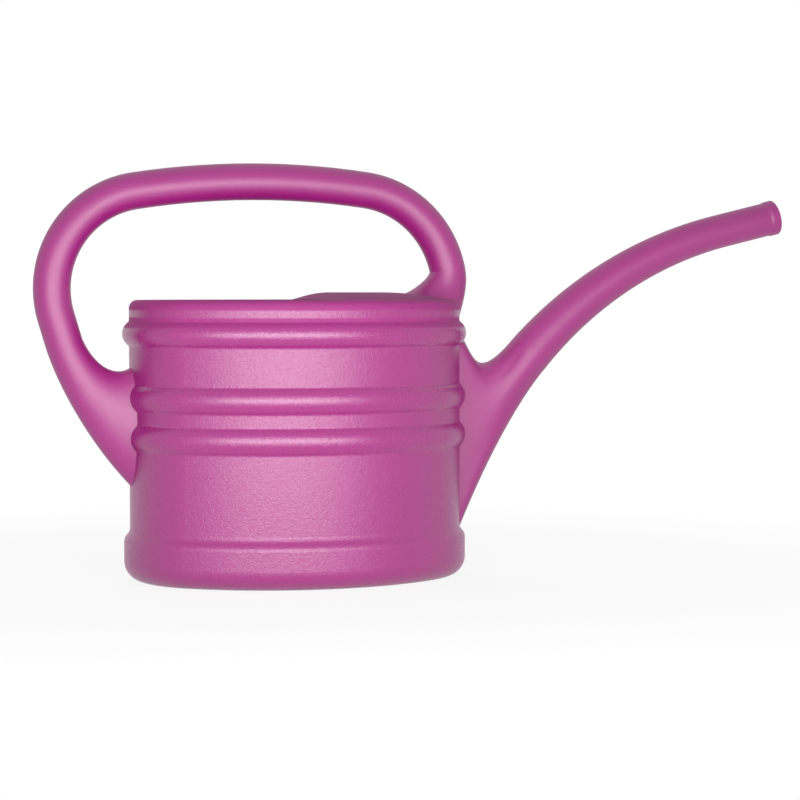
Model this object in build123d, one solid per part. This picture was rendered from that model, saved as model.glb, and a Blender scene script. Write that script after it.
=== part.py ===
from build123d import *
import os
from math import acos, asin, atan2, copysign, cos, degrees, pi, radians, sin

# Oval garden watering can of about five litres.
# Millimetres, +Z up, +X towards the spout, origin on the floor under the middle of the tank.

# Plan of the tank wall: an oval of four tangent arcs
half_length = 120.0
half_width = 87.0
end_radius = 70.0

# Sheet thickness of the moulded shells, play in the joints and how far the joints reach in
wall = 1.8
fit_gap = 0.1
lap_length = 9.0

# Base pan
foot_offset = 4.2
shoulder_height = 37.6
shoulder_radius = 7.0
bottom_radius = 14.0
standing_width = 16.0
push_up = 3.0

# Rim collar
rim_height = 199.6
rim_band = 13.6
rim_radius = 6.0
rim_flange = 8.0
rim_ledge = 5.0

# Ribs of the tank wall: drop of the middle below the rim band, half of the height, depth
ribs = [(83.5, 10.2, 4.2), (55.7, 10.2, 4.2), (10.4, 10.0, 4.9)]
rib_blend = 2.5

# Hood over the front half: a low cushion that rises from the rim and slopes down to its rear edge
hood_edge = 16.5
hood_crown = 5.4
hood_slope = 11.0
hood_ease = 16.0
hood_rise = 50.0

# Handle: a round tube bent in three arcs, with a flared foot at each end
grip_radius = 13.1
front_leg_inset = 4.1
front_leg_rise = 6.3
front_bend = 73.5
front_turn = 82.4
front_joint_turn = 13.0
top_bend = 574.0
rear_bend = 69.9
rear_overhang = 55.0
rear_lean = 16.5
rear_leg = 16.0
rear_foot_drop = 39.6
rear_foot_height = 100.0
rear_foot_half_width = 16.5
front_foot_length = 57.0
front_foot_half_width = 44.0
front_foot_drop = 12.0

# Spout: a tall root, a bent tapering tube and a straight nozzle
root_lift = 2.0
root_bury = 6.0
root_bottom = 10.0
root_half_width = 17.5
spout_reach = 57.6
spout_drop = 40.1
spout_rise = 48.2
tube_radius = 16.3
tube_bend = 300.4
tube_taper = 1.3
nozzle_rise = 13.6
nozzle_radius = 12.6
nozzle_length = 46.0
outlet_radius = 10.0
lip_radius = 13.2
lip_length = 6.0
lip_rounding = 0.6
window_bottom = 44.0

# Edges of the feet and the root: pull at the tube's end, then angle and pull at the wall's end
rear_foot_inner = (19.0, 235.0, 29.0)
rear_foot_outer = (35.0, 137.0, 42.0)
front_foot_inner = (2.0, 11.0, 27.0)
front_foot_outer = (11.0, 64.0, 31.0)
root_upper = (52.0, 312.3, 27.3)
root_lower = (46.0, 68.5, 41.0)

# Sections of the feet and the root: steps from end to end, how late the width grows (1 is even),
# squareness at the wall's end (2 is an ellipse), share of flat sides with half-round edges
rear_foot_style = (6, 2, 2.1, 0)
front_foot_style = (8, 3, 2.2, 0)
root_style = (12, 2, 2.0, 1)

# How far a foot or root is carried into the wall before it is trimmed to it
bury = 8.0

# Depth of the rim of a section that is filled up by a plain plate or block
core = 30.0

groove_height = rim_height - rim_band
front_leg_x = half_length - front_leg_inset
front_leg_z = rim_height + front_leg_rise
rear_foot_top = rim_height - rear_foot_drop
spout_height = rim_height - spout_drop
lap_inner = -2 * wall - fit_gap
lap_outer = -wall - fit_gap


def oval_arcs():
    """Centre, radius, first angle and sweep of the four arcs of the plan."""
    run = half_length - end_radius
    side_radius = (run**2 + half_width**2 - end_radius**2) / (2 * (half_width - end_radius))
    rise = side_radius - half_width
    lean = degrees(atan2(rise, run))
    return [
        ((run, 0), end_radius, -lean, 2 * lean),
        ((0, -rise), side_radius, lean, 180 - 2 * lean),
        ((-run, 0), end_radius, 180 - lean, 2 * lean),
        ((0, rise), side_radius, 180 + lean, 180 - 2 * lean),
    ]


def oval(offset):
    """Face of the plan, grown outwards by the offset."""
    return make_face([CenterArc(c, r + offset, a, s) for c, r, a, s in oval_arcs()])


def ring(profile):
    """Carry a section drawn as (offset, height) all round the plan."""
    turned = []
    for (x, y), radius, first, sweep_angle in oval_arcs():
        a = radians(first)
        plane = Plane((x, y, 0), x_dir=(cos(a), sin(a), 0), z_dir=(sin(a), -cos(a), 0))
        section = plane * (Pos(radius, 0) * profile)
        turned.append(revolve(section, Axis((x, y, 0), (0, 0, 1)), sweep_angle))
    return turned[0] + turned[1:]


def strip(inner, outer, low, high):
    """Rectangle between two offsets and two heights."""
    return Pos((inner + outer) / 2, (low + high) / 2) * Rectangle(outer - inner, high - low)


def pan_outline(inset):
    """Section of the filled base pan, drawn in by the inset."""
    turn = degrees(acos(1 - foot_offset / (2 * shoulder_radius)))
    band_top = shoulder_height - 2 * shoulder_radius * sin(radians(turn))
    floor = Line((-core, inset), (foot_offset - bottom_radius, inset))
    corner = JernArc(floor @ 1, (1, 0), bottom_radius - inset, 90)
    band = Line(corner @ 1, (foot_offset - inset, band_top))
    over = JernArc(band @ 1, (0, 1), shoulder_radius - inset, turn)
    under = JernArc(over @ 1, over % 1, shoulder_radius + inset, -turn)
    back = Polyline(under @ 1, (-core, shoulder_height), floor @ 0)
    return make_face([floor, corner, band, over, under, back])


def wall_outline(inset):
    """Section of the filled ribbed wall, drawn in by the inset."""
    lines = []
    point = (-inset, shoulder_height)
    for drop, half, depth in ribs:
        turn = degrees(2 * atan2(depth, half))
        swell = half / sin(radians(turn)) - rib_blend
        rise = Line(point, (-inset, groove_height - drop - half))
        low = JernArc(rise @ 1, (0, 1), rib_blend + inset, -turn)
        bulge = JernArc(low @ 1, low % 1, swell - inset, 2 * turn)
        high = JernArc(bulge @ 1, bulge % 1, rib_blend + inset, -turn)
        lines += [rise, low, bulge, high]
        point = high @ 1
    top = (-inset, groove_height)
    back = Polyline(point, top, (-core, groove_height), (-core, shoulder_height), lines[0] @ 0)
    return make_face(lines + [back])


def collar_outline(inset):
    """Section of the filled rim, drawn in by the inset."""
    face = strip(-core, -inset, groove_height, rim_height - inset)
    corner = face.vertices().sort_by(Axis.X)[-2:].sort_by(Axis.Y)[-1]
    return fillet([corner], rim_radius - inset)


def tank_envelope():
    """The tank from its floor to its rim, filled."""
    section = pan_outline(0) + wall_outline(0) + collar_outline(0)
    return ring(section) + extrude(oval(1 - core), rim_height)


def base_pan():
    shell = pan_outline(0) - pan_outline(wall)
    lap = strip(lap_inner, lap_outer, shoulder_height - wall, shoulder_height + lap_length)
    web = strip(lap_inner, -wall / 2, shoulder_height - wall, shoulder_height)
    edge = foot_offset - bottom_radius - standing_width
    foot = shell - strip(-core - 1, edge, -1, 2 * wall)
    riser = strip(edge, edge + wall, 0, push_up + wall)
    raised = strip(-core, edge + wall, push_up, push_up + wall)
    plate = Pos(0, 0, push_up) * extrude(oval(1 - core), wall)
    return ring(foot + lap + web + riser + raised) + plate


def tank_wall():
    shell = wall_outline(0) - wall_outline(wall)
    lap = strip(lap_inner, lap_outer, groove_height - wall, rim_height - rim_radius)
    web = strip(lap_inner, 0, groove_height - wall, groove_height)
    reach = Pos(half_length, 0, window_bottom) * Box(
        4 * bury, 4 * root_half_width, rim_height, align=(Align.CENTER, Align.CENTER, Align.MIN)
    )
    return ring(shell + lap + web) - (spout_root_shape(wall) & reach)


def rim_collar():
    shell = collar_outline(0) - collar_outline(wall)
    shell -= strip(-core - 1, -rim_flange, groove_height, rim_height + 1)
    low = rim_height - 2 * wall
    web = strip(-rim_flange, wall - rim_flange, low, rim_height)
    ledge = strip(-rim_flange - rim_ledge, wall - rim_flange, low, rim_height - wall)
    return ring(shell + web + ledge)


def hood_outline(inset):
    """Section of the filled hood from its edge to the start of the flat top, drawn in by the inset."""
    low = rim_height - wall
    edge = -rim_flange - fit_gap - inset
    flat = -rim_flange - hood_rise
    radius = (hood_rise**2 + hood_crown**2) / (2 * hood_crown) - inset
    crown = (flat, rim_height + hood_crown - inset)
    cushion = JernArc(crown, (1, 0), radius, -degrees(asin((edge - flat) / radius)))
    rest = Polyline(cushion @ 1, (edge, low), (flat, low), crown)
    return make_face([cushion, rest])


def hood_side(inset):
    """Side view of all that lies in front of the hood's rear slope, drawn in by the inset."""
    low = rim_height - wall - inset
    top = rim_height + hood_crown
    ridge = (hood_edge + hood_slope, top)
    corners = [(hood_edge, low), (hood_edge, rim_height), ridge, (half_length, top), (half_length, low)]
    face = make_face(Polyline(*corners, close=True))
    eased = fillet(face.vertices().sort_by_distance(ridge)[:1], hood_ease)
    return offset(eased, -inset)


def hood_dome(inset):
    """The hood from the underside of its edge up, filled and drawn in by the inset."""
    top = Pos(0, 0, rim_height - wall) * extrude(oval(-rim_flange - hood_rise), wall + hood_crown - inset)
    side = extrude(Plane.XZ * hood_side(inset), half_width, both=True)
    return (ring(hood_outline(inset)) + top) & side


def hood():
    return hood_dome(0) - hood_dome(wall)


def loop_section(place, half_height, half_across, power, slab):
    """Closed section across the mid-plane: x is up in the mid-plane, y is across it."""
    turns = 4
    count = 4 * turns
    right = []
    for i in range(count + 1):
        u = cos(pi * i / count)
        v = sin(pi * i / count)
        loop = Vector(copysign(abs(u) ** (2 / power), u) * half_height, abs(v) ** (2 / power) * half_across)
        corner = pi / 2 * min(i, count - i, turns) / turns
        along = max(-1, min(1, (count / 2 - i) / turns))
        level = along * (half_height - half_across) + copysign(cos(corner), along) * half_across
        flat = Vector(level, sin(corner) * half_across)
        right.append(loop + (flat - loop) * slab)
    left = [Vector(p.X, -p.Y) for p in reversed(right[1:-1])]
    even = range(2 * count + 1)
    return place * make_face(Edge.make_spline(right + left, periodic=True, parameters=even))


def edge_curve(start, way, end, pulls):
    """Edge of a foot or root in the mid-plane, from the tube's end to the wall's end."""
    start_pull, angle, end_pull = pulls
    turn = Vector(cos(radians(angle)), sin(radians(angle)))
    return Bezier(start, start + way * start_pull, end + turn * end_pull, end)


def drawn_in(curve, t, side, inset):
    """Point of an edge curve, drawn in by the inset to the left (1) or right (-1) of its way."""
    way = curve % t
    return curve @ t + Vector(-way.Y, way.X) * side * inset


def flared(left, right, narrow, wide, style, inset):
    """Loft between two edge curves in the mid-plane, from a narrow round end to a wide squarer one."""
    steps, growth, square, flat = style
    sections = []
    for i in range(steps + 1):
        t = i / steps
        first = drawn_in(left, t, -1, inset)
        second = drawn_in(right, t, 1, inset)
        middle = (first + second) / 2
        across = Vector(first.X - second.X, 0, first.Y - second.Y)
        place = Plane(
            (middle.X, 0, middle.Y), x_dir=across, z_dir=across.cross(Vector(0, 1, 0))
        )
        half_across = narrow + (wide - narrow) * t**growth
        power = 2 + (square - 2) * t
        slab = flat * (1 - (1 - t) ** 2)
        sections.append(loop_section(place, across.length / 2, half_across - inset, power, slab))
    return loft(sections)


def handle_arcs():
    """Centre line of the grip in the mid-plane, from the front foot over the top to the rear foot."""
    joint = radians(front_joint_turn)
    start = (front_leg_x - front_bend * (1 - cos(joint)), front_leg_z + front_bend * sin(joint))
    back_reach = half_length + rear_overhang + front_leg_x - front_bend - rear_bend
    lift = (top_bend - front_bend) * cos(radians(front_turn))
    rear_start = degrees(asin((back_reach - lift) / (top_bend - rear_bend)))
    front = JernArc(start, (-sin(joint), cos(joint)), front_bend, front_turn - front_joint_turn)
    top = JernArc(front @ 1, front % 1, top_bend, 90 - front_turn + rear_start)
    rear = JernArc(top @ 1, top % 1, rear_bend, 90 - rear_start + rear_lean)
    leg = Line(rear @ 1, rear @ 1 + (rear % 1) * rear_leg)
    return [front, top, rear, leg]


def handle_grip():
    line = Plane.XZ * Wire(handle_arcs())
    section = Plane(line @ 0, z_dir=line % 0) * (Circle(grip_radius) - Circle(grip_radius - wall))
    return sweep(section, line)


def rear_foot_shape(inset):
    leg = handle_arcs()[-1]
    end = leg @ 1
    way = leg % 1
    side = Vector(-way.Y, way.X)
    deep = bury - half_length
    inner = end + side * grip_radius
    outer = end - side * grip_radius
    inner_edge = edge_curve(inner, way, Vector(deep, rear_foot_top), rear_foot_inner)
    toe = Vector(deep, rear_foot_top - rear_foot_height)
    outer_edge = edge_curve(outer, way, toe, rear_foot_outer)
    return flared(inner_edge, outer_edge, grip_radius, rear_foot_half_width, rear_foot_style, inset)


def handle_rear_foot():
    leg = Plane.XZ * handle_arcs()[-1]
    plug = Cylinder(
        grip_radius - wall - fit_gap, lap_length, align=(Align.CENTER, Align.CENTER, Align.MAX)
    )
    web = Cylinder(grip_radius - wall / 2, wall, align=(Align.CENTER, Align.CENTER, Align.MIN))
    end = Plane(leg @ 1, z_dir=leg % 1) * (plug + web)
    return rear_foot_shape(0) - rear_foot_shape(wall) + end - tank_envelope()


def front_foot_shape():
    """Foot that runs back over the hood on its inner side and down over the rim on its outer side."""
    front = handle_arcs()[0]
    way = -(front % 0)
    side = Vector(-way.Y, way.X) * grip_radius
    toe = Vector(half_length - bury / 2, groove_height - front_foot_drop)
    heel = Vector(half_length - front_foot_length, rim_height - wall)
    outer_edge = edge_curve(front @ 0 + side, way, toe, front_foot_outer)
    inner_edge = edge_curve(front @ 0 - side, way, heel, front_foot_inner)
    return flared(outer_edge, inner_edge, grip_radius, front_foot_half_width, front_foot_style, 0)


def handle_front_foot():
    front = handle_arcs()[0]
    line = Plane.XZ * JernArc(front @ 0, front % 0, front_bend, degrees(lap_length / front_bend))
    plug = sweep(Plane(line @ 0, z_dir=line % 0) * Circle(grip_radius - wall - fit_gap), line)
    return front_foot_shape() - tank_envelope() - hood_dome(0) + plug


def spout_frame(distance):
    """Plane across the tube's centre line, a distance along it from the root's joint."""
    first = radians(spout_rise)
    a = first - distance / tube_bend
    x = half_length + spout_reach + tube_bend * (sin(first) - sin(a))
    z = spout_height + tube_bend * (cos(a) - cos(first))
    return Plane((x, 0, z), x_dir=(-sin(a), 0, cos(a)), z_dir=(cos(a), 0, sin(a)))


def tube_length():
    return radians(spout_rise - nozzle_rise) * tube_bend


def tube_radius_at(distance):
    """Outside radius of the tapering tube, a distance along it from the root's joint."""
    left = 1 - distance / tube_length()
    return nozzle_radius + (tube_radius - nozzle_radius) * left**tube_taper


def spout_root_shape(inset):
    joint = spout_frame(0)
    middle = Vector(joint.origin.X, joint.origin.Z)
    way = -Vector(joint.z_dir.X, joint.z_dir.Z)
    side = Vector(joint.x_dir.X, joint.x_dir.Z)
    top = middle + side * tube_radius
    low = middle - side * tube_radius
    head = Vector(half_length - root_bury, groove_height + root_lift)
    heel = Vector(half_length - bury, root_bottom)
    upper = edge_curve(top, way, head, root_upper)
    lower = edge_curve(low, way, heel, root_lower)
    return flared(lower, upper, tube_radius, root_half_width, root_style, inset)


def tube_spigot(distance):
    """Spigot that carries the next piece of the tube, with the web that holds it."""
    sag = lap_length**2 / (2 * tube_bend)
    outer = tube_radius_at(distance + lap_length) - wall - sag - fit_gap
    spigot = Cylinder(outer, lap_length, align=(Align.CENTER, Align.CENTER, Align.MIN))
    web = Cylinder(
        tube_radius_at(distance) - wall / 2, wall, align=(Align.CENTER, Align.CENTER, Align.MAX)
    )
    return spout_frame(distance) * (spigot + web - Cylinder(outer - wall, 3 * lap_length))


def spout_root():
    return spout_root_shape(0) - spout_root_shape(wall) + tube_spigot(0) - tank_envelope()


def tube_shape(start, end, inset):
    """The filled tube between two distances along it, drawn in by the inset."""
    steps = 4
    sections = []
    for i in range(steps + 1):
        distance = start + (end - start) * i / steps
        radius = tube_radius_at(distance) - inset
        sections.append(loop_section(spout_frame(distance), radius, radius, 2.0, 0))
    return loft(sections)


def spout_tube_lower():
    middle = tube_length() / 2
    return tube_shape(0, middle, 0) - tube_shape(0, middle, wall) + tube_spigot(middle)


def nozzle_spigot_radius():
    """Outside of the tube's spigot, halfway through the nozzle's wall."""
    return outlet_radius + (nozzle_radius - outlet_radius - fit_gap) / 2


def spout_tube_upper():
    length = lap_length + wall
    spigot = Cylinder(nozzle_spigot_radius(), length) - Cylinder(outlet_radius, length)
    end = spout_frame(tube_length()) * Pos(0, 0, length / 2 - wall) * spigot
    span = (tube_length() / 2, tube_length())
    return tube_shape(*span, 0) - tube_shape(*span, wall) + end


def spout_nozzle():
    """Straight end of the spout, with a socket for the tube and a slightly swollen lip."""
    socket = nozzle_spigot_radius() + fit_gap
    start = nozzle_length - lip_length
    swell = lip_radius - nozzle_radius
    section = make_face(
        Polyline(
            (socket, 0),
            (nozzle_radius, 0),
            (nozzle_radius, start - 3 * swell),
            (lip_radius, start),
            (lip_radius, nozzle_length),
            (outlet_radius, nozzle_length),
            (outlet_radius, lap_length),
            (socket, lap_length),
            close=True,
        )
    )
    mouth = section.vertices().sort_by(Axis.Y)[-2:]
    rounded = fillet(mouth, lip_rounding)
    return spout_frame(tube_length()) * revolve(Plane.XZ * rounded, Axis.Z)


pieces = [
    base_pan,
    tank_wall,
    rim_collar,
    hood,
    handle_grip,
    handle_rear_foot,
    handle_front_foot,
    spout_root,
    spout_tube_lower,
    spout_tube_upper,
    spout_nozzle,
]

os.makedirs("parts", exist_ok=True)
for piece in pieces:
    export_step(piece(), f"parts/{piece.__name__}.step")
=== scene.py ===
from math import radians, tau

import bpy
from bpy.props import FloatProperty, FloatVectorProperty, PointerProperty
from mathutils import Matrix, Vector


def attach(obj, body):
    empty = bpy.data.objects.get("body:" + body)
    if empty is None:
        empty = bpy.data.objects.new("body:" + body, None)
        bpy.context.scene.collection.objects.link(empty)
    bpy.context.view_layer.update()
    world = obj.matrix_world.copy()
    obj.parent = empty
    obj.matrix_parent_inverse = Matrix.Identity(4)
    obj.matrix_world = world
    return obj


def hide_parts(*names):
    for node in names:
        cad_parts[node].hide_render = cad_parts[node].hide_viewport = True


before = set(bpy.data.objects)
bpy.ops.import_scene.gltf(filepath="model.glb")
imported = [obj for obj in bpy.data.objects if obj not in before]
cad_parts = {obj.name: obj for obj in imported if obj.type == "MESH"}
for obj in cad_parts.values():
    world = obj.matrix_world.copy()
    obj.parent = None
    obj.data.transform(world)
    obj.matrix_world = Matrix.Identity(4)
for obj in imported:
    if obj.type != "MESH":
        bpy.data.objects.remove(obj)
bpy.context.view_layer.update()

bl_info = {
    "name": "Watering Can",
    "version": (1, 0, 0),
    "blender": (4, 5, 0),
    "location": "View3D > Sidebar > Watering Can",
    "description": "Dresses the moulded watering can and sets up its studio",
    "category": "Object",
}

TANK_NODES = ("base_pan", "tank_wall", "rim_collar")
HANDLE_NODES = ("handle_grip", "handle_rear_foot", "handle_front_foot")
SPOUT_NODES = ("spout_root", "spout_nozzle")
TUBE_NODES = ("spout_tube_lower", "spout_tube_upper")

# Heights in metres between which the tank's finish differs, and half the width of their soft limits.
# The middle of the rim, between the groove and the rounded top, keeps its shine
LOWER_RIB = (0.0933, 0.1117)
MIDDLE_RIB = (0.1211, 0.1395)
UPPER_RIB = (0.1666, 0.1858)
RIM_GROOVE = (0.1800, 0.1872)
RIM_TOP = (0.1925, 0.2100)
SMOOTH_BANDS = (LOWER_RIB, MIDDLE_RIB, UPPER_RIB)
DULL_BANDS = (RIM_GROOVE, RIM_TOP)
BAND_EDGE = 0.001

# How much grain and roughness the smooth bands lose, and how much rougher the dull bands are
RIB_GRAIN_LOSS = 0.4
RIB_SMOOTHING = 0.04
RIM_DULLING = 0.45

# Patterns in the plastic: clouds in a metre, streaks in a metre along X, Y and Z,
# the clouds' share of the change of colour, and that change itself
CLOUDS_PER_METRE = 16.0
STREAKS_PER_METRE = (90.0, 90.0, 6.0)
CLOUD_SHARE = 0.6
COLOUR_CHANGE = 0.08

# The specks' scale beside the pebbles', what specks and streaks add to the roughness,
# and the middle of a noise, where they add nothing
SPECK_SCALE = 0.45
SPECK_DULLING = 0.30
STREAK_DULLING = 0.05
NOISE_MIDDLE = 0.5

# Fineness of the bent tube's mesh
TUBE_ROWS = 72
TUBE_SIDES = 72
WELD_DISTANCE = 1e-6
SHARP_ANGLE = radians(45.0)

# Stage: half the floor's edge, what the lamps face, the floor's own white beside the can,
# and the distances over which that white takes over from the shadow
FLOOR_REACH = 6.0
LAMP_TARGET = Vector((0.0, 0.0, 0.16))
NEAR_WHITE = 0.88
SHADOW_FADE = (0.25, 0.65)

# Colours of the background and of the floor's paper, and the tilt of a camera that looks level
WHITE = (1.0, 1.0, 1.0, 1.0)
PAPER = (0.9, 0.9, 0.9, 1.0)
LEVEL = radians(90.0)


class Field:
    """A node socket that takes part in Python expressions."""

    def __init__(self, tree, socket=None):
        self.tree = tree
        self.socket = socket

    def node(self, kind, settings=None, inputs=None, output=0):
        """Add a node: its settings first, then the values or links of its sockets."""
        made = self.tree.nodes.new(kind)
        for name, value in (settings or {}).items():
            setattr(made, name, value)
        for name, value in (inputs or {}).items():
            if isinstance(value, Field):
                self.tree.links.new(value.socket, made.inputs[name])
            else:
                made.inputs[name].default_value = value
        return Field(self.tree, made.outputs[output] if made.outputs else None)

    def beside(self, output):
        """Another output of the node that this socket belongs to."""
        return Field(self.tree, self.socket.node.outputs[output])

    def maths(self, operation, first, second=0.0):
        return self.node("ShaderNodeMath", {"operation": operation}, {0: first, 1: second})

    def __add__(self, other):
        return self.maths("ADD", self, other)

    __radd__ = __add__

    def __sub__(self, other):
        return self.maths("SUBTRACT", self, other)

    def __rsub__(self, other):
        return self.maths("SUBTRACT", other, self)

    def __mul__(self, other):
        return self.maths("MULTIPLY", self, other)

    __rmul__ = __mul__

    def __truediv__(self, other):
        return self.maths("DIVIDE", self, other)

    def __pow__(self, other):
        return self.maths("POWER", self, other)

    def __gt__(self, other):
        return self.maths("GREATER_THAN", self, other)

    def __lt__(self, other):
        return self.maths("LESS_THAN", self, other)

    def sine(self):
        return self.maths("SINE", self)

    def cosine(self):
        return self.maths("COSINE", self)

    def size(self):
        return self.maths("ABSOLUTE", self)

    def most(self, other):
        return self.maths("MAXIMUM", self, other)

    def least(self, other):
        return self.maths("MINIMUM", self, other)

    def ramp(self, low, high):
        """Smooth step from zero at the low value to one at the high value."""
        settings = {"interpolation_type": "SMOOTHSTEP"}
        return self.node("ShaderNodeMapRange", settings, {0: self, 1: low, 2: high})

    def blend(self, first, second):
        """Colour between two colours, with this field as the factor."""
        return self.node(
            "ShaderNodeMix", {"data_type": "RGBA"}, {0: self, 6: first, 7: second}, output=2
        )


def shade(colour, factor):
    return (colour[0] * factor, colour[1] * factor, colour[2] * factor, 1.0)


def new_material(name):
    material = bpy.data.materials.new(name)
    material.use_nodes = True
    material.node_tree.nodes.clear()
    return material, Field(material.node_tree)


def noise(place, scale, detail, roughness=0.5):
    """Noise of the given scale, from zero to one."""
    inputs = {"Vector": place, "Scale": scale, "Detail": detail, "Roughness": roughness}
    return place.node("ShaderNodeTexNoise", inputs=inputs)


def within(height, bands):
    """One inside the bands of height, zero outside them, with soft limits."""

    def above(limit):
        return height.ramp(limit - BAND_EDGE, limit + BAND_EDGE)

    return sum(above(low) * (1.0 - above(high)) for low, high in bands)


def moulded_plastic(name, look, roughness, grain, painted_shade_depth=1.0, banded=False):
    """Satin moulded plastic: blasted grain, faint flow streaks and clouding.

    A grain of one is the full blasted grain, and a painted shade depth below one darkens the colour
    as painted shade.
    Banded plastic is smoother on the tank's ribs, and duller in the groove and on the top
    of its rim.
    """
    material, tree = new_material(name)
    place = tree.node("ShaderNodeTexCoord", output="Object")
    stretched = tree.node("ShaderNodeMapping", inputs={"Vector": place, "Scale": STREAKS_PER_METRE})
    cloud = noise(place, scale=CLOUDS_PER_METRE, detail=4.0)
    streak = noise(stretched, scale=1.0, detail=4.0)
    pebble = noise(place, scale=1.0 / look.grain_size, detail=2.0, roughness=0.6)
    speck = noise(place, scale=SPECK_SCALE / look.grain_size, detail=3.0, roughness=0.7)
    tone = cloud * CLOUD_SHARE + streak * (1.0 - CLOUD_SHARE)
    # The painted shade depth darkens both tones as painted shade, not as the plastic's own colour
    deep = shade(look.colour, (1.0 - COLOUR_CHANGE) * painted_shade_depth)
    pale = shade(look.colour, (1.0 + COLOUR_CHANGE) * painted_shade_depth)
    base = tone.blend(deep, pale)
    relief = (pebble + speck) * (look.grain_depth * grain / 2.0)
    dull = roughness + (speck - NOISE_MIDDLE) * (SPECK_DULLING * grain)
    dull = dull + (streak - NOISE_MIDDLE) * STREAK_DULLING
    if banded:
        height = tree.node("ShaderNodeSeparateXYZ", inputs={"Vector": place}, output="Z")
        smooth = within(height, SMOOTH_BANDS)
        relief = relief * (1.0 - smooth * RIB_GRAIN_LOSS)
        dull = dull - smooth * RIB_SMOOTHING + within(height, DULL_BANDS) * RIM_DULLING
    bump = tree.node("ShaderNodeBump", inputs={"Strength": 1.0, "Distance": 1.0, "Height": relief})
    shader = tree.node(
        "ShaderNodeBsdfPrincipled",
        inputs={
            "Base Color": base,
            "Roughness": dull,
            "IOR": 1.5,
            "Specular IOR Level": look.gloss,
            "Normal": bump,
        },
    )
    tree.node("ShaderNodeOutputMaterial", inputs={"Surface": shader})
    return material


def dress(node, material):
    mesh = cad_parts[node].data
    mesh.materials.clear()
    mesh.materials.append(material)


def new_tree(name, sizes):
    """Empty geometry tree with a named input for each size, and the fields of those inputs."""
    tree = bpy.data.node_groups.new(name, "GeometryNodeTree")
    tree.interface.new_socket("Geometry", in_out="OUTPUT", socket_type="NodeSocketGeometry")
    for title, value in sizes.items():
        kind = "NodeSocketInt" if isinstance(value, int) else "NodeSocketFloat"
        tree.interface.new_socket(title, in_out="INPUT", socket_type=kind)
    start = Field(tree).node("NodeGroupInput")
    return tree, {title: start.beside(title) for title in sizes}


def bent_tube_tree(sizes, joint, material):
    """Tube with a wall, bent along an arc in the mid-plane and tapering towards its end.

    Rows of the grid run up the outside, turn in at the end and run down the inside.
    The last row lies on the first one and closes the wall.
    """
    tree, given = new_tree("bent_tapering_tube", sizes)
    field = Field(tree)
    rows = given["Rows"]
    last_row = rows * 2.0 + 2.0
    counts = {"Vertices X": given["Sides"] + 1.0, "Vertices Y": last_row + 1.0}
    grid = field.node("GeometryNodeMeshGrid", inputs=counts)
    u = field.node("ShaderNodeSeparateXYZ", inputs={0: grid.beside("UV Map")}, output="X")
    row = u.beside("Y") * last_row
    turn = rows + 0.5
    along = ((turn - (row - turn).size()) / rows).most(0.0).least(1.0)
    inside = (row > turn) * (row < last_row - 0.5)
    angle = given["Start Angle"] + (given["End Angle"] - given["Start Angle"]) * along
    taper = given["End Radius"] + (given["Start Radius"] - given["End Radius"]) * (
        (1.0 - along) ** given["Taper"]
    )
    radius = taper - inside * given["Wall"]
    lift = radius * (u * tau).cosine()
    bend = given["Bend Radius"]
    x = joint[0] + bend * (given["Start Angle"].sine() - angle.sine()) - lift * angle.sine()
    y = joint[1] - radius * (u * tau).sine()
    z = joint[2] + bend * (angle.cosine() - given["Start Angle"].cosine()) + lift * angle.cosine()
    place = field.node("ShaderNodeCombineXYZ", inputs={0: x, 1: y, 2: z})
    bent = field.node("GeometryNodeSetPosition", inputs={"Geometry": grid, "Position": place})
    weld = {"Geometry": bent, "Distance": WELD_DISTANCE}
    closed = field.node("GeometryNodeMergeByDistance", inputs=weld)
    whole = field.node("GeometryNodeRealizeInstances", inputs={"Geometry": closed})
    done = field.node("GeometryNodeSetMaterial", inputs={"Geometry": whole, "Material": material})
    field.node("NodeGroupOutput", inputs={"Geometry": done})
    return tree


def grown(name, tree, sizes):
    """Plain mesh object that a geometry tree makes with the given sizes."""
    maker = bpy.data.objects.new(name, bpy.data.meshes.new(name))
    bpy.context.scene.collection.objects.link(maker)
    modifier = maker.modifiers.new("shape", "NODES")
    modifier.node_group = tree
    for item in tree.interface.items_tree:
        if item.in_out == "INPUT":
            modifier[item.identifier] = sizes[item.name]
    evaluated = maker.evaluated_get(bpy.context.evaluated_depsgraph_get())
    mesh = bpy.data.meshes.new_from_object(evaluated)
    maker.modifiers.remove(modifier)
    maker.data = mesh
    mesh.polygons.foreach_set("use_smooth", [True] * len(mesh.polygons))
    mesh.set_sharp_from_angle(angle=SHARP_ANGLE)
    return maker


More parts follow.
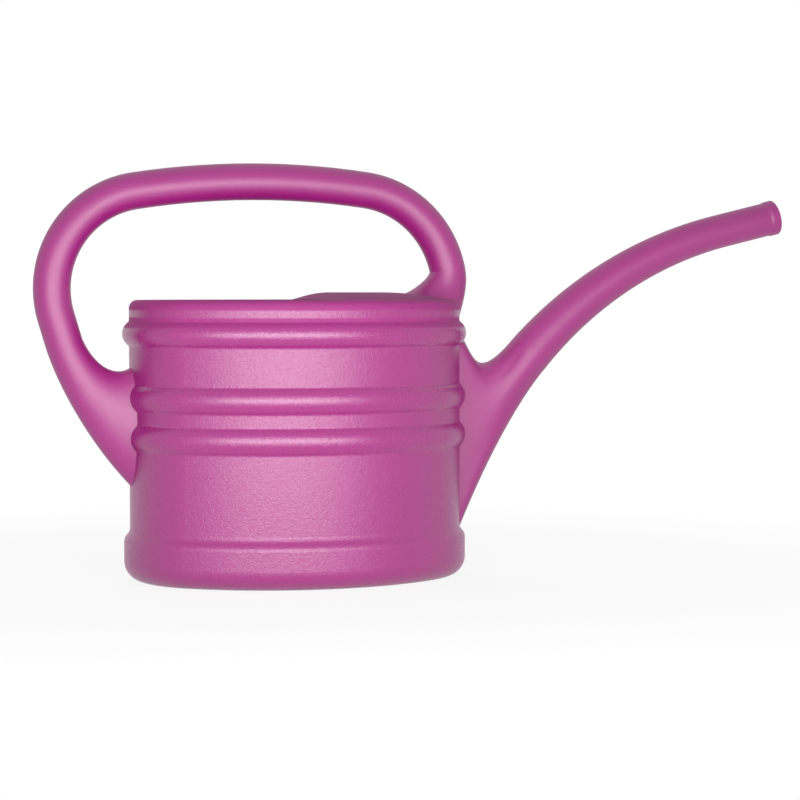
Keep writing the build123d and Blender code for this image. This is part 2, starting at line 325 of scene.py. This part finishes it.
class PlasticLook(bpy.types.PropertyGroup):
    """Colour and surface of the moulded plastic."""

    colour: FloatVectorProperty(
        name="Colour",
        description="Colour of the plastic all through",
        subtype="COLOR",
        size=3,
        min=0.0,
        max=1.0,
        default=(0.325, 0.006, 0.183),
    )
    tank_roughness: FloatProperty(
        name="Tank Roughness",
        description="Roughness of the grained tank",
        subtype="FACTOR",
        min=0.0,
        max=1.0,
        default=0.32,
    )
    handle_roughness: FloatProperty(
        name="Handle Roughness",
        description="Roughness of the handle, whose grain is worn down by hands",
        subtype="FACTOR",
        min=0.0,
        max=1.0,
        default=0.45,
    )
    hood_roughness: FloatProperty(
        name="Hood Roughness",
        description="Roughness of the matt hood",
        subtype="FACTOR",
        min=0.0,
        max=1.0,
        default=0.80,
    )
    spout_roughness: FloatProperty(
        name="Spout Roughness",
        description="Roughness of the duller spout",
        subtype="FACTOR",
        min=0.0,
        max=1.0,
        default=0.46,
    )
    gloss: FloatProperty(
        name="Gloss",
        description="Strength of the surface reflection",
        subtype="FACTOR",
        min=0.0,
        max=1.0,
        default=1.0,
    )
    grain_size: FloatProperty(
        name="Grain Size",
        description="Spacing of the pebbles in the blasted surface",
        unit="LENGTH",
        default=0.0009,
    )
    grain_depth: FloatProperty(
        name="Grain Depth",
        description="Height of the pebbles in the blasted surface",
        unit="LENGTH",
        default=0.0005,
    )


class TubeShape(bpy.types.PropertyGroup):
    """Sizes of the bent tube between the spout's root and its nozzle."""

    joint: FloatVectorProperty(
        name="Joint",
        description="Middle of the joint with the root",
        subtype="TRANSLATION",
        unit="LENGTH",
        size=3,
        default=(0.1776, 0.0, 0.1595),
    )
    bend: FloatProperty(
        name="Bend Radius",
        description="Radius of the arc that the tube's middle follows",
        unit="LENGTH",
        default=0.3004,
    )
    start_angle: FloatProperty(
        name="Start Angle",
        description="Slope of the tube at the root",
        subtype="ANGLE",
        default=radians(48.2),
    )
    end_angle: FloatProperty(
        name="End Angle",
        description="Slope of the tube at the nozzle",
        subtype="ANGLE",
        default=radians(13.6),
    )
    start_radius: FloatProperty(
        name="Start Radius",
        description="Outside radius at the root",
        unit="LENGTH",
        default=0.0163,
    )
    end_radius: FloatProperty(
        name="End Radius",
        description="Outside radius at the nozzle",
        unit="LENGTH",
        default=0.0126,
    )
    taper: FloatProperty(
        name="Taper",
        description="How early the tube gets thinner: 1 is even, more is earlier",
        default=1.3,
    )
    wall: FloatProperty(
        name="Wall",
        description="Thickness of the tube's wall",
        unit="LENGTH",
        default=0.0018,
    )


class StudioLook(bpy.types.PropertyGroup):
    """Camera and light of the studio."""

    eye: FloatVectorProperty(
        name="Eye",
        description="Place of the camera",
        subtype="TRANSLATION",
        unit="LENGTH",
        size=3,
        default=(-0.3980, -1.6108, 0.2049),
    )
    yaw: FloatProperty(
        name="Yaw",
        description="Turn of the camera to the right of straight ahead",
        subtype="ANGLE",
        default=radians(16.465),
    )
    pitch: FloatProperty(
        name="Pitch",
        description="Tilt of the camera below level",
        subtype="ANGLE",
        default=radians(2.673),
    )
    lens: FloatProperty(
        name="Lens",
        description="Focal length of the camera in millimetres",
        unit="CAMERA",
        default=103.7,
    )
    lamp: FloatVectorProperty(
        name="Lamp",
        description="Place of the wide soft lamp in front",
        subtype="TRANSLATION",
        unit="LENGTH",
        size=3,
        default=(-0.12, -0.711, 0.19),
    )
    lamp_width: FloatProperty(
        name="Lamp Width",
        description="Width of the soft lamp",
        unit="LENGTH",
        default=1.0,
    )
    lamp_height: FloatProperty(
        name="Lamp Height",
        description="Height of the soft lamp",
        unit="LENGTH",
        default=0.38,
    )
    lamp_power: FloatProperty(
        name="Lamp Power",
        description="Power of the soft lamp",
        unit="POWER",
        default=5.9,
    )
    fill: FloatVectorProperty(
        name="Fill",
        description="Place of the weaker lamp above the back",
        subtype="TRANSLATION",
        unit="LENGTH",
        size=3,
        default=(0.10, 0.85, 0.75),
    )
    fill_size: FloatProperty(
        name="Fill Size",
        description="Edge of the weaker lamp",
        unit="LENGTH",
        default=1.0,
    )
    fill_power: FloatProperty(
        name="Fill Power",
        description="Power of the weaker lamp",
        unit="POWER",
        default=5.0,
    )
    ambient: FloatProperty(
        name="Ambient",
        description="Strength of the even light all round",
        subtype="FACTOR",
        min=0.0,
        max=1.0,
        default=0.28,
    )


class WATERINGCAN_OT_finish_shells(bpy.types.Operator):
    """Give the moulded shells their satin plastic"""

    bl_idname = "watering_can.finish_shells"
    bl_label = "Finish Shells"

    def execute(self, context):
        look = context.scene.can_plastic
        tank = moulded_plastic(
            "grained_tank_plastic", look, look.tank_roughness, grain=1.0, banded=True
        )
        # The hood's colour is darkened to 0.72 of the plastic's as painted shade on its top, which
        # faces up, away from the front lamp
        hood = moulded_plastic(
            "matt_hood_plastic_painted_shade", look, look.hood_roughness, grain=0.6, painted_shade_depth=0.72
        )
        handle = moulded_plastic(
            "hand_worn_handle_plastic", look, look.handle_roughness, grain=0.25
        )
        spout = moulded_plastic("dull_spout_plastic", look, look.spout_roughness, grain=0.3)
        dress("hood", hood)
        for node in TANK_NODES:
            dress(node, tank)
        for node in HANDLE_NODES:
            dress(node, handle)
        for node in SPOUT_NODES + TUBE_NODES:
            dress(node, spout)
        return {"FINISHED"}


class WATERINGCAN_OT_bend_tube(bpy.types.Operator):
    """Make the spout's bent tube in one smooth piece"""

    bl_idname = "watering_can.bend_tube"
    bl_label = "Bend Tube"

    def execute(self, context):
        shape = context.scene.can_tube
        sizes = {
            "Bend Radius": shape.bend,
            "Start Angle": shape.start_angle,
            "End Angle": shape.end_angle,
            "Start Radius": shape.start_radius,
            "End Radius": shape.end_radius,
            "Taper": shape.taper,
            "Wall": shape.wall,
            "Rows": TUBE_ROWS,
            "Sides": TUBE_SIDES,
        }
        plastic = bpy.data.materials["dull_spout_plastic"]
        tree = bent_tube_tree(sizes, shape.joint, plastic)
        tube = grown("spout_bent_tube", tree, sizes)
        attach(tube, "root")
        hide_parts(*TUBE_NODES)
        return {"FINISHED"}


class WATERINGCAN_OT_set_stage(bpy.types.Operator):
    """Lay the floor, hang the light and set up the camera"""

    bl_idname = "watering_can.set_stage"
    bl_label = "Set Stage"

    def execute(self, context):
        scene = context.scene
        studio = scene.can_studio
        self.lay_floor(scene)
        self.light(scene, studio)
        self.aim(scene, studio)
        scene.view_settings.view_transform = "Standard"
        return {"FINISHED"}

    def seen_directly(self, tree):
        """One for rays that show the background as it is, and zero for rays that carry light."""
        camera = tree.node("ShaderNodeLightPath", output="Is Camera Ray")
        return camera.most(camera.beside("Is Glossy Ray")).most(camera.beside("Is Transmission Ray"))

    def lay_floor(self, scene):
        far = FLOOR_REACH
        mesh = bpy.data.meshes.new("studio_floor")
        corners = [(-far, -far, 0), (far, -far, 0), (far, far, 0), (-far, far, 0)]
        mesh.from_pydata(corners, [], [(0, 1, 2, 3)])
        floor = bpy.data.objects.new("studio_floor", mesh)
        scene.collection.objects.link(floor)
        material, tree = new_material("pale_floor")
        paper = tree.node("ShaderNodeBsdfDiffuse", inputs={"Color": PAPER})
        glow = tree.node("ShaderNodeEmission", inputs={"Color": WHITE})
        place = tree.node("ShaderNodeTexCoord", output="Object")
        away = tree.node(
            "ShaderNodeVectorMath", {"operation": "LENGTH"}, {0: place}, output="Value"
        )
        bare = NEAR_WHITE + away.ramp(*SHADOW_FADE) * (1.0 - NEAR_WHITE)
        mixed = tree.node(
            "ShaderNodeMixShader", inputs={0: self.seen_directly(tree) * bare, 1: paper, 2: glow}
        )
        tree.node("ShaderNodeOutputMaterial", inputs={"Surface": mixed})
        mesh.materials.append(material)

    def light(self, scene, studio):
        """Even light all round, a wide lamp in front, and a weaker one that makes no reflections."""
        world = bpy.data.worlds.new("studio_light")
        world.use_nodes = True
        world.node_tree.nodes.clear()
        tree = Field(world.node_tree)
        ambient = studio.ambient
        strength = self.seen_directly(tree) * (1.0 - ambient) + ambient
        sky = tree.node("ShaderNodeBackground", inputs={"Color": WHITE, "Strength": strength})
        tree.node("ShaderNodeOutputWorld", inputs={"Surface": sky})
        scene.world = world
        front = (studio.lamp_width, studio.lamp_height)
        self.hang(scene, "front_lamp", studio.lamp, front, studio.lamp_power)
        back = (studio.fill_size, studio.fill_size)
        fill = self.hang(scene, "back_fill", studio.fill, back, studio.fill_power)
        fill.visible_glossy = False

    def hang(self, scene, name, place, size, power):
        """Hang a soft lamp that faces the tank and that the camera doesn't see."""
        lamp = bpy.data.lights.new(name, "AREA")
        lamp.shape = "RECTANGLE"
        lamp.size, lamp.size_y = size
        lamp.energy = power
        holder = bpy.data.objects.new(name, lamp)
        holder.location = place
        aim = LAMP_TARGET - Vector(place)
        holder.rotation_euler = aim.to_track_quat("-Z", "Y").to_euler()
        holder.visible_camera = False
        scene.collection.objects.link(holder)
        return holder

    def aim(self, scene, studio):
        camera = bpy.data.cameras.new("photo_camera")
        camera.lens = studio.lens
        camera.sensor_fit = "HORIZONTAL"
        camera.sensor_width = 36.0
        camera.clip_start = 0.01
        camera.clip_end = 50.0
        holder = bpy.data.objects.new("photo_camera", camera)
        holder.location = studio.eye
        holder.rotation_euler = (LEVEL - studio.pitch, 0.0, -studio.yaw)
        scene.collection.objects.link(holder)
        scene.camera = holder


class WATERINGCAN_PT_tools(bpy.types.Panel):
    """Sizes, colours and steps of the watering can"""

    bl_idname = "WATERINGCAN_PT_tools"
    bl_label = "Watering Can"
    bl_space_type = "VIEW_3D"
    bl_region_type = "UI"
    bl_category = "Watering Can"

    def draw(self, context):
        layout = self.layout
        scene = context.scene
        for group in (scene.can_plastic, scene.can_tube, scene.can_studio):
            box = layout.box()
            for name in group.__annotations__:
                box.prop(group, name)
        for step in STEPS:
            layout.operator(step.bl_idname)


STEPS = (
    WATERINGCAN_OT_finish_shells,
    WATERINGCAN_OT_bend_tube,
    WATERINGCAN_OT_set_stage,
)
CLASSES = (PlasticLook, TubeShape, StudioLook) + STEPS + (WATERINGCAN_PT_tools,)


def register():
    for cls in CLASSES:
        bpy.utils.register_class(cls)
    bpy.types.Scene.can_plastic = PointerProperty(type=PlasticLook)
    bpy.types.Scene.can_tube = PointerProperty(type=TubeShape)
    bpy.types.Scene.can_studio = PointerProperty(type=StudioLook)


def unregister():
    del bpy.types.Scene.can_studio
    del bpy.types.Scene.can_tube
    del bpy.types.Scene.can_plastic
    for cls in reversed(CLASSES):
        bpy.utils.unregister_class(cls)


def main():
    register()
    bpy.ops.watering_can.finish_shells()
    bpy.ops.watering_can.bend_tube()
    bpy.ops.watering_can.set_stage()


if __name__ == "__main__":
    main()
